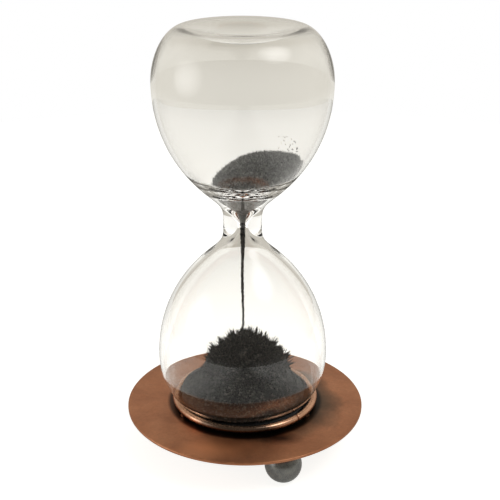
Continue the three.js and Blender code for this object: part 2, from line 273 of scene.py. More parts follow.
def copper_plate_material():
    """Rolled copper with a warm brown patina. Painted shadow darkens it under and just outside the collar,
    and in a spot in front of the collar on its right. Round the collar it turns greyer and darker, reaching
    further out on its right, partly from oxide and partly as a painted shadow of the glass. A painted lighter
    patch lies in front of the collar on its left.
    """
    n = Look("antique_copper")
    x, y, _ = n.apart(n.place())
    wander = n.math("MULTIPLY_ADD", n.noise(55, 4, 0.55), 0.013, -0.0065)

    def spot(x_mm, y_mm, half_x, half_y):
        """Distance from a place on the plate, 1 on an oval round it and ragged."""
        across = n.math("MULTIPLY_ADD", x, 1000 / half_x, -x_mm / half_x)
        along = n.math("MULTIPLY_ADD", y, 1000 / half_y, -y_mm / half_y)
        both = n.math("ADD", n.math("MULTIPLY", across, across), n.math("MULTIPLY", along, along))
        return n.math("MULTIPLY_ADD", wander, 40.0, n.math("SQRT", both))

    brown = n.ramp(n.noise(45, 5, 0.6, 0.6), (0.30, (0.39, 0.162, 0.085)), (0.52, (0.52, 0.225, 0.116)),
                   (0.75, (0.61, 0.28, 0.15)))
    colour = n.mix(n.grey_noise((900, 3, 0.6), 0.0, 0.35, 0.35, 0.75), brown, (0.31, 0.14, 0.08))

    radius = n.math("SQRT", n.math("ADD", n.math("MULTIPLY", x, x), n.math("MULTIPLY", y, y)))
    to_right = n.math("MULTIPLY_ADD", x, 0.97, n.math("MULTIPLY", y, -0.25))
    ragged = n.math("ADD", radius, wander)
    reach = n.math("MULTIPLY", n.math("MULTIPLY_ADD", to_right, -0.28, ragged), PER_PLATE)
    # Round the collar the plate turns greyer, here, and darker in the ramp below, reaching further out on its
    # right: partly dull oxide, partly a painted shadow of the glass.
    colour = n.mix(n.ramp(reach, (0.48, grey(0.7)), (0.62, grey(0.0))), colour, (0.24, 0.19, 0.13))

    # Painted light: a lighter, more orange patch on the plate in front of the collar, to its left.
    painted_light_patch = n.ramp(spot(-9.0, -39.0, 20.0, 9.0), (0.2, grey(0.75)), (1.0, grey(0.0)))
    colour = n.mix(painted_light_patch, colour, (0.86, 0.36, 0.17))

    # Darker round the collar and further out on its right: partly oxide, partly a painted shadow of the
    # glass.
    oxide_and_painted_shadow = n.ramp(reach, (0.46, grey(0.34)), (0.55, grey(0.58)), (0.63, grey(1.0)))
    # Painted shadow: the plate darkens under the collar and just outside it.
    painted_collar_shadow = n.ramp(n.math("MULTIPLY", radius, PER_PLATE),
                          (0.600, grey(0.10)), (0.640, grey(0.18)), (0.668, grey(1.0)))
    # Painted shadow: a dark spot on the plate in front of the collar, to its right, standing in for the
    # collar's shadow.
    painted_shadow_spot = n.ramp(spot(14.0, -32.0, 11.0, 6.5), (0.2, grey(0.10)), (0.9, grey(1.0)))
    for layer in (oxide_and_painted_shadow, painted_collar_shadow, painted_shadow_spot):
        colour = n.product(colour, layer)
    n.set(Base_Color=colour, Metallic=1.0, Roughness=n.grey_noise((160, 4, 0.6), 0.33, 0.46))
    n.bump(n.noise(1500, 3, 0.6), 0.15, 0.00005)
    return n.material


def collar_material():
    """Copper wire in bright copper tones that vary at random, with painted shade over its front."""
    n = Look("collar_copper")
    x, y, _ = n.apart(n.place())
    bright = n.ramp(n.noise(120, 4, 0.6, 0.4), (0.35, (0.50, 0.28, 0.18)), (0.60, (0.80, 0.46, 0.30)))
    # Painted shade: toward the front, a little to the left, the wire turns a dull brown-grey, standing in for
    # a dark reflection.
    to_front = n.math("MULTIPLY_ADD", y, -PER_PLATE, n.math("MULTIPLY", x, -3.0))
    painted_dark_front = n.ramp(to_front, (0.515, grey(0.0)), (0.56, grey(0.92)))
    n.set(
        Base_Color=n.mix(painted_dark_front, bright, (0.085, 0.060, 0.045)),
        Metallic=1.0,
        Roughness=n.grey_noise((400, 3, 0.6), 0.20, 0.34),
    )
    n.bump(n.noise(1800, 2, 0.5), 0.08, 0.00004)
    return n.material


def steel_material(name, dark, light, low, high):
    """Plated or bare steel between two colours and two roughnesses."""
    n = Look(name)
    n.set(
        Base_Color=n.ramp(n.noise(350, 5, 0.65), (0.35, dark), (0.65, light)),
        Metallic=1.0,
        Roughness=n.grey_noise((700, 4, 0.6), low, high),
    )
    n.bump(n.noise(2200, 3, 0.6), 0.1, 0.00004)
    return n.material


def ferrite_material():
    """Bare dark grey ferrite, slightly rough."""
    n = Look("ferrite")
    n.set(
        Base_Color=n.grey_noise((900, 5, 0.7), 0.018, 0.05, 0.35, 0.7),
        Roughness=n.grey_noise((500, 3, 0.5), 0.55, 0.8),
    )
    n.bump(n.noise(2500, 4, 0.7), 0.3, 0.00006)
    return n.material


def felt_material():
    """Black felt."""
    n = Look("felt")
    n.set(
        Base_Color=n.grey_noise((2600, 5, 0.75, 1.5), 0.010, 0.045),
        Roughness=n.grey_noise((900, 2, 0.5), 0.9, 1.0),
    )
    n.bump(n.noise(3000, 5, 0.8, 2.0), 0.8, 0.0002)
    return n.material


def filings_material(name, dark, middle, light):
    """Iron splinters: one colour to each grain, and single grains that catch the light."""
    n = Look(name)
    grain = n.add("TexVoronoi")
    give(grain.inputs["Vector"], n.place())
    give(grain.inputs["Scale"], 1500)
    own = n.add("SeparateColor")
    give(own.inputs[0], grain.outputs["Color"])
    speck = n.noise(2200, 4, 0.7)
    shade = n.math("MULTIPLY", own.outputs[0], n.math("MULTIPLY", speck, 1.6))
    n.set(
        Base_Color=n.ramp(shade, (0.25, dark), (0.62, middle), (0.95, light)),
        Roughness=n.grey_noise((1500, 3, 0.6), 0.40, 0.75),
        Specular_IOR_Level=0.25,
    )
    n.bump(speck, 0.8, 0.00025)
    return n.material


def glass_material():
    """Clear glass with a faint warm tint."""
    n = Look("clear_glass")
    n.set(Base_Color=(0.985, 0.98, 0.965), Roughness=0.0, IOR=1.5, Transmission_Weight=1.0)
    return n.material


PLATE_COPPER = copper_plate_material()
COLLAR_COPPER = collar_material()
NICKEL = steel_material("nickel", grey(0.17), (0.27, 0.27, 0.25), 0.22, 0.34)
STUD_STEEL = steel_material("stud_steel", grey(0.40), grey(0.55), 0.3, 0.45)
FERRITE = ferrite_material()
FELT = felt_material()
CLEAR_GLASS = glass_material()
# One iron in three copies, set apart by painted light and shade. The upper heap's copy is painted lighter.
# The bed's copy and the crown's copy, which the falling stream also uses, are painted darker.
HEAP_IRON_PAINTED_LIGHT = filings_material("iron_filings_upper_painted_light", grey(0.19), (0.34, 0.345, 0.325), grey(0.46))
BED_IRON_PAINTED_SHADE = filings_material("iron_filings_bed_painted_shade", grey(0.003), (0.022, 0.023, 0.020), (0.125, 0.118, 0.103))
CROWN_IRON_PAINTED_SHADE = filings_material("iron_filings_crown_painted_shade", grey(0.006), (0.042, 0.038, 0.032), (0.150, 0.128, 0.105))

# ---------------------------------------------------------------- base

PLATE_EDGE = 0.35 * MM
PLATE_RINGS = [0.0, 10, 20, 30, 38, 44, 48, 49.2, 49.55]
MAGNET_EDGE = 0.5 * MM
MAGNET_RINGS = [0.0, 6, 12, 17, 19]
PAD_BORE, PAD_EDGE = 17 * MM, 0.25 * MM
PAD_RINGS = (19, 21, 23)
COLLAR_JOINT, COLLAR_GAP = math.radians(-44), 0.30 * MM
BALL_MIDDLE = 7.4 * MM  # above the ball's own flat foot
STUD_RADIUS, THREAD_DEPTH, HALF_PITCH = 1.5, 0.16, 0.25 * MM  # radii in millimetres
THREAD_START, THREAD_STOP = 0.4 * MM, 0.1 * MM  # from the stud's ends


def collar():
    """The bent wire, open at its butt joint, with its two ends chamfered."""
    centre_z = (RING_LOW[2] + RING_HIGH[2]) / 2
    wire = (RING_HIGH[2] - RING_LOW[2]) / 2
    radius = RING_HIGH[0] - wire
    gap = COLLAR_GAP / radius
    steps, sides = 320, 28
    chamfer_along = np.array([0.0, 0.12, 0.3]) * MM / radius
    chamfer_size = wire * np.array([0.72, 0.9, 0.98])
    point = [wire * 1e-3]
    along = COLLAR_JOINT + gap / 2 + np.linspace(0, 1, steps) * (TURN - gap)
    along = np.concatenate([[along[0]], along[0] + chamfer_along, along[1:-1],
                            along[-1] - chamfer_along[::-1], [along[-1]]])
    size = np.concatenate([point, chamfer_size, np.full(steps - 2, wire), chamfer_size[::-1], point])
    section = around(sides)
    r = radius + size[:, None] * np.cos(section)
    z = centre_z + size[:, None] * np.sin(section)
    points = np.stack([r * np.cos(along)[:, None], r * np.sin(along)[:, None], z], -1).reshape(-1, 3)
    faces = grid_faces(len(along), sides)[:, ::-1].tolist()
    faces.append(list(range(sides)))
    faces.append(list(range(len(points) - 1, len(points) - 1 - sides, -1)))
    return points, faces


def pad():
    """The felt ring, with softened corners."""
    low, high, outer = PAD_LOW[2], PAD_HIGH[2], PAD_HIGH[0]
    return turned([
        *arc((PAD_BORE + PAD_EDGE, low + PAD_EDGE), PAD_EDGE, 180, 270, 4),
        *[(r * MM, low) for r in PAD_RINGS],
        *arc((outer - PAD_EDGE, low + PAD_EDGE), PAD_EDGE, -90, 0, 4),
        *arc((outer - PAD_EDGE, high - PAD_EDGE), PAD_EDGE, 0, 90, 4),
        *[(r * MM, high) for r in reversed(PAD_RINGS)],
        *arc((PAD_BORE + PAD_EDGE, high - PAD_EDGE), PAD_EDGE, 90, 180, 4),
    ], 192)


def ball(low, high, centre):
    """A ball with a small flat at its foot and a wider one where the stud enters it."""
    radius = (high[0] - low[0]) / 2
    middle = low[2] + BALL_MIDDLE
    start, stop = (math.degrees(math.asin((z - middle) / radius)) for z in (low[2], high[2]))
    side = arc((0, middle), radius, start, stop, 56).tolist()
    return turned([(0.0, low[2])] + side + [(0.0, high[2])], 96, centre)


def stud(low, high, centre):
    """A threaded stud, its thread as rings."""
    turns = np.arange(low[2] + THREAD_START, high[2] - THREAD_STOP, HALF_PITCH)
    side = [((STUD_RADIUS - THREAD_DEPTH * (k % 2)) * MM, z) for k, z in enumerate(turns)]
    return turned([(0.0, low[2])] + side + [(0.0, high[2])], 48, centre)


plate = rounded_disc(PLATE_LOW[2], PLATE_HIGH[2], PLATE_HIGH[0], PLATE_EDGE, PLATE_RINGS, 6, 256)
new_piece("base_plate_disc", plate, PLATE_COPPER, "base", ["base_plate"])
new_piece("collar_wire", collar(), COLLAR_COPPER, "base", ["collar_ring"])
new_piece("seat_felt", pad(), FELT, "base", ["seat_pad"])
magnet = rounded_disc(MAGNET_LOW[2], MAGNET_HIGH[2], MAGNET_HIGH[0], MAGNET_EDGE, MAGNET_RINGS, 5, 128)
new_piece("ferrite_disc", magnet, FERRITE, "base", ["base_magnet"])

for i in FEET:
    ball_box = [np.array(p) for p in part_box(f"foot_ball_{i}")]
    stud_box = [np.array(p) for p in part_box(f"foot_stud_{i}")]
    foot = ((ball_box[0] + ball_box[1]) / 2)[:2]
    new_piece(f"ball_{i}", ball(*ball_box, foot), NICKEL, "base", [f"foot_ball_{i}"])
    new_piece(f"stud_{i}", stud(*stud_box, foot), STUD_STEEL, "base", [f"foot_stud_{i}"])
    peg = frame["nodes"][f"collar_peg_{i}"]
    peg.data.materials.clear()
    peg.data.materials.append(COLLAR_COPPER)

# ---------------------------------------------------------------- glass

FILL_HOLE = 2.5  # radius in millimetres


def outer_half():
    """Outside of one bulb in millimetres, from the middle of the neck to the hollow of its end."""
    return np.vstack([
        [(7.8, 2.5)],
        bezier((7.8, 2.5), (7.8, 6.5), (9.2, 8.2), (12.0, 10.8), 24),
        bezier((12.0, 10.8), (16.0, 14.5), (35.1, 28.5), (35.1, 57.5), 56),
        bezier((35.1, 57.5), (35.1, 68.0), (29.2, 78.8), (22.2, 78.8), 32),
        bezier((22.2, 78.8), (16.2, 78.8), (9.0, 74.3), (0.0, 74.3), 22),
    ])


def inner_end(i):
    """Inside of a bulb from its widest place to the hollow of its end, drawn in by i."""
    return np.vstack([
        bezier((33.65 - i, 57.5), (33.65 - i, 68.0), (29.2, 77.7 - i), (22.2, 77.7 - i), 30),
        bezier((22.2, 77.7 - i), (16.2, 77.7 - i), (9.0, 73.2 - i), (0.0, 73.2 - i), 20),
    ])


def inner_upper(i=0.0):
    """Inside of the upper bulb, drawn in by i: the orifice, the funnel, the dish round it and the wall."""
    return np.vstack([
        [(1.4 - i, 0.8 + 2 * i)],
        bezier((1.4 - i, 0.8 + 2 * i), (1.9 - i, 5.5 + i), (6.6 - i, 9.6 + i), (12.0 - i, 16.0 + i), 30),
        bezier((12.0 - i, 16.0 + i), (16.0 - i, 17.2 + i), (20.6 - i, 20.6 + i), (22.64 - i, 23.46 + i), 26),
        bezier((22.64 - i, 23.46 + i), (28.68 - i, 31.87 + i), (33.65 - i, 42.94), (33.65 - i, 57.5), 36),
        inner_end(i),
    ])


def inner_lower(i=0.0):
    """Inside of the lower bulb, as if turned up: its funnel runs straight out into the wall."""
    return np.vstack([
        [(1.4 - i, 0.8 + 2 * i)],
        bezier((1.4 - i, 0.8 + 2 * i), (2.0 - i, 5.0 + i), (6.5 - i, 8.5 + i), (12.0 - i, 13.6 + i), 30),
        bezier((12.0 - i, 13.6 + i), (17.0 - i, 18.2 + i), (33.65 - i, 33.0), (33.65 - i, 57.5), 56),
        inner_end(i),
    ])


def upside_down(half):
    """The same outline below the neck, still going up."""
    return half[::-1] * (1, -1)


def in_place(outline_mm):
    """From millimetres about the neck to metres in the row frame."""
    return np.stack([outline_mm[:, 0] * MM, NECK_Z + outline_mm[:, 1] * MM], 1)


def glass_mesh():
    """Outer and inner skins, joined around the fill hole."""
    segments = 192
    outer = np.vstack([upside_down(outer_half()), outer_half()])
    inner = np.vstack([upside_down(inner_lower()), inner_upper()])[::-1]
    outer[0, 0] = inner[-1, 0] = FILL_HOLE
    a = around(segments)

    def rings(outline):
        r, z = in_place(outline).T
        x = GLASS_X + r[:, None] * np.cos(a)
        y = GLASS_Y + r[:, None] * np.sin(a)
        return np.stack([x, y, np.repeat(z[:, None], segments, 1)], -1).reshape(-1, 3)

    n_out, n_in = len(outer) - 1, len(inner) - 1
    points = np.vstack([
        rings(outer[:-1]),
        rings(inner[1:]),
        [GLASS_X, GLASS_Y, NECK_Z + outer[-1, 1] * MM],
        [GLASS_X, GLASS_Y, NECK_Z + inner[0, 1] * MM],
    ])
    faces = grid_faces(n_out, segments).tolist()
    faces += (grid_faces(n_in, segments) + n_out * segments).tolist()
    top_out, top_in = len(points) - 2, len(points) - 1
    last_out, first_in = (n_out - 1) * segments, n_out * segments
    last_in = (n_out + n_in - 1) * segments
    for c in range(segments):
        d = (c + 1) % segments
        faces.append([top_out, last_out + c, last_out + d])
        faces.append([top_in, first_in + d, first_in + c])
        faces.append([last_in + c, last_in + d, d, c])
    return points, faces


def fill_seal():
    """The glass stopper of the fill hole: a rounded head below and a shank in the hole."""
    low, high = (p[2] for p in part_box("fill_plug"))
    head = low + 1.1 * MM
    return turned([
        (0.0, low), (2.0 * MM, low), (2.8 * MM, low + 0.2 * MM), (3.3 * MM, low + 0.65 * MM),
        (3.4 * MM, low + 0.9 * MM), (3.35 * MM, head), (2.25 * MM, head), (2.2 * MM, head + 0.2 * MM),
        (2.2 * MM, high - 0.2 * MM), (2.05 * MM, high), (0.0, high),
    ], 48, (GLASS_X, GLASS_Y))


bulbs = new_piece("glass_bulbs", glass_mesh(), CLEAR_GLASS, "glass", ["glass_body"])
bulbs.visible_shadow = False
bulbs.visible_diffuse = False
seal = new_piece("fill_seal", fill_seal(), CLEAR_GLASS, "glass", ["fill_plug"])
seal.visible_shadow = False

# ---------------------------------------------------------------- filings

WALL_GAP = 0.12  # millimetres between the filings and the glass
NOISE_CELLS = 32


def value_noise(points, scale, seed):
    """Smooth noise of about -1 to 1 at points, with features of the given size."""
    table = np.random.default_rng(seed).uniform(-1, 1, (NOISE_CELLS,) * 3)
    p = np.asarray(points) / scale + 1000.0
    i = np.floor(p).astype(int)
    f = p - i
    f = f * f * (3 - 2 * f)
    total = 0.0
    for corner in np.ndindex(2, 2, 2):
        weight = 1.0
        for axis, step in enumerate(corner):
            weight = weight * (f[..., axis] if step else 1 - f[..., axis])
        cell = (i + corner) % NOISE_CELLS
        total = total + weight * table[cell[..., 0], cell[..., 1], cell[..., 2]]
    return total


def wall_radius(height_mm, inset):
    """Radius of the inside of the glass at a height from the middle of the neck."""
    half = inner_upper(inset)
    top = int(np.argmax(half[:, 1]))
    return np.interp(np.abs(height_mm), half[:top + 1, 1], half[:top + 1, 0])


def frames(directions):
    """For each direction, a rotation whose third column is that direction."""
    d = directions / np.linalg.norm(directions, axis=1, keepdims=True)
    helper = np.where(np.abs(d[:, 2:3]) < 0.9, [[0.0, 0.0, 1.0]], [[1.0, 0.0, 0.0]])
    x = np.cross(helper, d)
    x /= np.linalg.norm(x, axis=1, keepdims=True)
    y = np.cross(d, x)
    return np.stack([x, y, d], -1)


CHIP = np.array([(0.5, 0, 0.1), (0.0, 0.45, -0.1), (-0.5, 0.05, 0.0), (0.05, -0.5, 0.15),
                 (0.05, 0.1, 1.0), (-0.1, 0, -1.0)])
CHIP_FACES = np.array([(0, 1, 4), (1, 2, 4), (2, 3, 4), (3, 0, 4),
                       (1, 0, 5), (2, 1, 5), (3, 2, 5), (0, 3, 5)])


def chips(centres, directions, lengths, widths, rng):
    """Small splinters of iron, long along their directions."""
    n = len(centres)
    shape = CHIP[None] * (1 + rng.uniform(-0.35, 0.35, (n, 6, 1)))
    shape = shape * np.stack([widths, widths, lengths / 2], 1)[:, None, :]
    points = np.einsum("nij,nkj->nki", frames(directions), shape) + centres[:, None, :]
    faces = CHIP_FACES[None] + len(CHIP) * np.arange(n)[:, None, None]
    return points.reshape(-1, 3), faces.reshape(-1, 3).tolist()


SPIKE_SHARE = np.linspace(0, 0.82, 4)  # how far up the spike each ring is
SPIKE_TAPER = np.array([1.0, 0.85, 0.62, 0.36])
SPIKE_SIDES = 5


def spike_faces():
    """Quads, point triangles and base of one spike."""
    levels, sides = len(SPIKE_SHARE), SPIKE_SIDES
    last = (levels - 1) * sides
    tip = [(last + s, last + (s + 1) % sides, levels * sides) for s in range(sides)]
    return grid_faces(levels, sides), np.array(tip), np.array([range(sides)[::-1]])


def spikes(roots, directions, lengths, widths, rng):
    """Tapering bristles of filings, slightly bent."""
    n, levels, sides = len(roots), len(SPIKE_SHARE), SPIKE_SIDES
    a = around(sides)
    spin = rng.uniform(0, TURN, (n, 1))
    bend = rng.normal(0, 0.10, (n, 1, 2)) * (SPIKE_SHARE**2)[None, :, None]
    jitter = 1 + rng.uniform(-0.32, 0.32, (n, levels, sides))
    radius = widths[:, None, None] * SPIKE_TAPER[None, :, None] * jitter
    local = np.stack([
        radius * np.cos(a + spin)[:, None, :] + (bend[..., 0] * lengths[:, None])[..., None],
        radius * np.sin(a + spin)[:, None, :] + (bend[..., 1] * lengths[:, None])[..., None],
        np.broadcast_to((SPIKE_SHARE[None, :] * lengths[:, None])[..., None], radius.shape),
    ], -1).reshape(n, levels * sides, 3)
    tip_bend = bend[:, -1] * lengths[:, None] * 1.3
    tip = np.concatenate([tip_bend, lengths[:, None]], 1)[:, None, :]
    local = np.concatenate([local, tip], 1)
    points = np.einsum("nij,nkj->nki", frames(directions), local) + roots[:, None, :]
    start = local.shape[1] * np.arange(n)[:, None, None]
    faces = []
    for group in spike_faces():
        faces += (group[None] + start).reshape(-1, group.shape[1]).tolist()
    return points.reshape(-1, 3), faces


def from_plate(mm):
    """Height in metres of a place above the plate's top."""
    return PLATE_TOP + mm * MM


# Outline of the bed's free surface: radius, and height above the plate. It begins at the glass.
BED_TOP = np.array([(25.9, 6.4), (24.2, 7.0), (22.2, 8.0), (20.8, 9.7), (19.6, 12.3), (18.5, 14.8),
                    (17.6, 17.0), (16.6, 19.6), (15.0, 21.6), (12.0, 23.0), (8.0, 24.0), (0.0, 24.6)])
BED_FLOOR_RADIUS, BED_FLOOR_HEIGHT = 25.6, -70  # the part of the glass's inside that the bed lies on
BED_LEAN, BED_LEAN_START, BED_LEAN_RISE = 1.5, 6.8, 5
BED_ROUGH_START = 7.5
BED_CHIPS = 9000


def bed_lean(z):
    """How far the bed leans to +X at a height."""
    return BED_LEAN * MM * np.clip((z - from_plate(BED_LEAN_START)) / (BED_LEAN_RISE * MM), 0, 1)


def bed():
    """The mound of filings on the floor of the lower bulb, strewn with splinters."""
    rng = np.random.default_rng(11)
    floor = upside_down(inner_lower(WALL_GAP))
    floor = floor[(floor[:, 0] < BED_FLOOR_RADIUS) & (floor[:, 1] < BED_FLOOR_HEIGHT)]
    t = np.concatenate([[0], np.cumsum(np.hypot(*np.diff(BED_TOP, axis=0).T))])
    fine = np.linspace(0, t[-1], 110)
    radius, height = (np.interp(fine, t, BED_TOP[:, k]) for k in (0, 1))
    top = np.stack([radius * MM, from_plate(height)], 1)

    def rough(r, z, a):
        p = np.stack([r * np.cos(a), r * np.sin(a), z], -1) / MM
        free = (z > from_plate(BED_ROUGH_START)).astype(float)
        lump = 0.35 * value_noise(p, 4.0, 3) + 0.22 * value_noise(p, 1.3, 4) + 0.16 * value_noise(p, 0.5, 5)
        return free * 0.25 * lump * MM, free * lump * MM

    base, faces = turned(np.vstack([in_place(floor), top]), 360, (GLASS_X, GLASS_Y), rough)
    base[:, 0] += bed_lean(base[:, 2])

    k = rng.integers(8, len(top) - 2, BED_CHIPS)
    share = rng.uniform(0, 1, BED_CHIPS)
    keep = rng.uniform(0, 1, BED_CHIPS) < top[k, 0] / top[:, 0].max()
    k, share = k[keep], share[keep]
    n = len(k)
    r, z = (top[k] + (top[k + 1] - top[k]) * share[:, None]).T
    a = rng.uniform(0, TURN, n)
    centres = np.stack([GLASS_X + bed_lean(z) + r * np.cos(a), GLASS_Y + r * np.sin(a),
                        z + rng.uniform(0.0, 0.35, n) * MM], 1)
    outward = np.stack([np.cos(a), np.sin(a), np.full(n, 1.0)], 1)
    directions = rng.normal(0, 1, (n, 3)) + outward * 0.8
    grains = chips(centres, directions, rng.uniform(0.45, 1.1, n) * MM, rng.uniform(0.13, 0.26, n) * MM, rng)
    return join((base, faces), grains)


# Outline of the crown's solid middle: radius, and height above the plate.
CROWN_CORE = np.array([(0.0, 27.7), (4.0, 27.1), (8.0, 25.3), (11.0, 22.9), (13.2, 20.1), (14.8, 17.8),
                       (16.0, 16.4)])
CROWN_RADIUS, CROWN_FOOT = 16.5, 16.5
TUFTS, SPIKES_IN_TUFT = 400, 7
TUFT_RADIUS, TUFT_LEAN = 15.9, 1.25
SPIKE_LEAST, SPIKE_MOST = 2.5, 7.4


def crown_core(r_mm):
    """Height above the plate of the crown's solid middle at a radius, in millimetres."""
    return np.interp(r_mm, CROWN_CORE[:, 0], CROWN_CORE[:, 1])


def crown():
    """Tufts of spikes on a lumpy core. The spikes lean out more toward the crown's edge."""
    rng = np.random.default_rng(23)
    r = np.linspace(CROWN_RADIUS, 0, 40)
    top = np.stack([r * MM, from_plate(crown_core(r))], 1)

    def rough(rr, zz, a):
        p = np.stack([rr * np.cos(a), rr * np.sin(a), zz], -1) / MM
        return 0 * rr, (0.5 * value_noise(p, 2.2, 7) + 0.4 * value_noise(p, 0.8, 8)) * MM

    core = turned(np.vstack([[(0.0, from_plate(CROWN_FOOT))], top]), 160, (MOUND_X, GLASS_Y), rough)
    radius = np.repeat(TUFT_RADIUS * np.sqrt(rng.uniform(0, 1, TUFTS)), SPIKES_IN_TUFT)
    a = np.repeat(rng.uniform(0, TURN, TUFTS), SPIKES_IN_TUFT)
    n = len(a)
    share = radius / TUFT_RADIUS
    lean = share * TUFT_LEAN
    scatter = np.repeat(rng.normal(0, 0.25, (TUFTS, 3)), SPIKES_IN_TUFT, 0)
    outward = np.stack([lean * np.cos(a), lean * np.sin(a), np.full(n, 1.0)], 1)
    directions = outward + scatter + rng.normal(0, 0.15, (n, 3))
    roots = np.stack([MOUND_X + radius * MM * np.cos(a), GLASS_Y + radius * MM * np.sin(a),
                      from_plate(crown_core(radius) - 1.0)], 1)
    roots += rng.normal(0, 0.42, (n, 3)) * (1, 1, 0.2) * MM
    tall = np.repeat(3.7 + rng.exponential(1.2, TUFTS), SPIKES_IN_TUFT) + rng.normal(0, 0.6, n)
    lengths = np.clip(tall, SPIKE_LEAST, SPIKE_MOST) * (1 - 0.12 * share)
    return join(core, spikes(roots, directions, lengths * MM, rng.uniform(0.24, 0.38, n) * MM, rng))


HEAP_PEAK_X, HEAP_PEAK = 10.5, 27.5
HEAP_FALL_LEFT, HEAP_FALL_RIGHT, HEAP_FALL_Y = 0.0165, 0.0100, 0.0185  # drop per square millimetre
HEAP_FOOT = 1.4
HEAP_CHIPS, CLINGING_GRAINS = 6500, 26


def heap_surface(x, y):
    """Height of the heap above the middle of the neck, in millimetres. It is hollowed on its left."""
    dip = 2.4 * np.exp(-(((x + 11.0) / 7.5) ** 2 + ((y + 2.0) / 18.0) ** 2))
    fall = np.where(x < HEAP_PEAK_X, HEAP_FALL_LEFT, HEAP_FALL_RIGHT)
    return HEAP_PEAK - fall * (x - HEAP_PEAK_X) ** 2 - HEAP_FALL_Y * y**2 - dip


def heap_body():
    """The heap's closed skin: up the wall to a ragged line, then over the free surface to the peak."""
    segments = 320
    a = around(segments)
    heights = np.concatenate([np.linspace(HEAP_FOOT, 8, 24), np.linspace(8.4, 34, 90)])
    wall = wall_radius(heights, WALL_GAP)
    contact = []
    for angle in a:
        level = heap_surface(wall * np.cos(angle), wall * np.sin(angle))
        below = np.where(heights <= level)[0]
        contact.append(heights[below[-1] if len(below) else 0])
    ragged = np.stack([14 * np.cos(a), 14 * np.sin(a), 0 * a], 1)
    contact = np.array(contact) + 0.55 * value_noise(ragged, 1.1, 71) + 0.35 * value_noise(ragged, 0.45, 72)
    rows = []
    for s in np.linspace(0, 1, 60):
        h = HEAP_FOOT + (contact - HEAP_FOOT) * s
        r = wall_radius(h, WALL_GAP)
        rows.append(np.stack([r * np.cos(a), r * np.sin(a), h], 1))
    rim = rows[-1]
    for s in np.linspace(0, 1, 70)[1:-1]:
        x = rim[:, 0] + (HEAP_PEAK_X - rim[:, 0]) * s
        y = rim[:, 1] * (1 - s)
        blend = min(1, s * 12)
        z = heap_surface(x, y) * (0.5 + 0.5 * blend) + rim[:, 2] * 0.5 * (1 - blend)
        p = np.stack([x, y, z], 1)
        bumps = 0.60 * value_noise(p, 3.0, 51) + 0.45 * value_noise(p, 1.1, 52)
        bumps += 0.24 * value_noise(p, 0.5, 53)
        p[:, 2] += bumps * min(1, s * 8)
        rows.append(p)
    points = np.concatenate(rows)
    faces = grid_faces(len(rows), segments).tolist()
    bottom, top = len(points), len(points) + 1
    points = np.vstack([points, [0, 0, HEAP_FOOT], [HEAP_PEAK_X, 0, HEAP_PEAK + 0.2]])
    last = (len(rows) - 1) * segments
    for c in range(segments):
        d = (c + 1) % segments
        faces.append([bottom, d, c])
        faces.append([top, last + c, last + d])
    return points, faces


def upper_heap():
    """The heap with splinters on its surface, and single grains that cling to the glass above it."""
    rng = np.random.default_rng(41)
    x = rng.uniform(-22, 30, HEAP_CHIPS * 3)
    y = rng.uniform(-30, 30, HEAP_CHIPS * 3)
    z = heap_surface(x, y)
    inside = np.hypot(x, y) < wall_radius(np.clip(z, 1, 57), 0.9)
    x, y, z = (v[inside][:HEAP_CHIPS] for v in (x, y, z))
    n = len(x)
    away = np.stack([2 * HEAP_FALL_LEFT * (x - HEAP_PEAK_X), 2 * HEAP_FALL_Y * y, np.ones(n)], 1)
    centres = np.stack([x, y, z + rng.uniform(0.1, 1.0, n)], 1)
    directions = away * 1.5 + rng.normal(0, 0.7, (n, 3))
    grains = chips(centres, directions, rng.uniform(1.1, 3.0, n), rng.uniform(0.22, 0.42, n), rng)

    n = CLINGING_GRAINS
    angle = np.radians(rng.uniform(24, 56, n))
    height = rng.uniform(24.5, 31.0, n)
    r = wall_radius(height, 0.4)
    centres = np.stack([r * np.cos(angle), r * np.sin(angle), height], 1)
    directions = rng.normal(0, 1, (n, 3))
    clinging = chips(centres, directions, rng.uniform(0.8, 1.5, n), rng.uniform(0.30, 0.48, n), rng)
    points, faces = join(heap_body(), grains, clinging)
    return points * MM + (GLASS_X, GLASS_Y, NECK_Z), faces


# Radius of the stream's solid middle in millimetres against the share of its fall.
STREAM_SHARE = [0, 0.10, 0.35, 0.60, 0.72, 1.0]
STREAM_RADIUS = [1.0, 0.85, 0.5, 0.55, 0.34, 0.22]
STREAM_TOP, STREAM_BOTTOM = 1.2, (from_plate(31.5) - NECK_Z) / MM
STREAM_GRAINS = 700


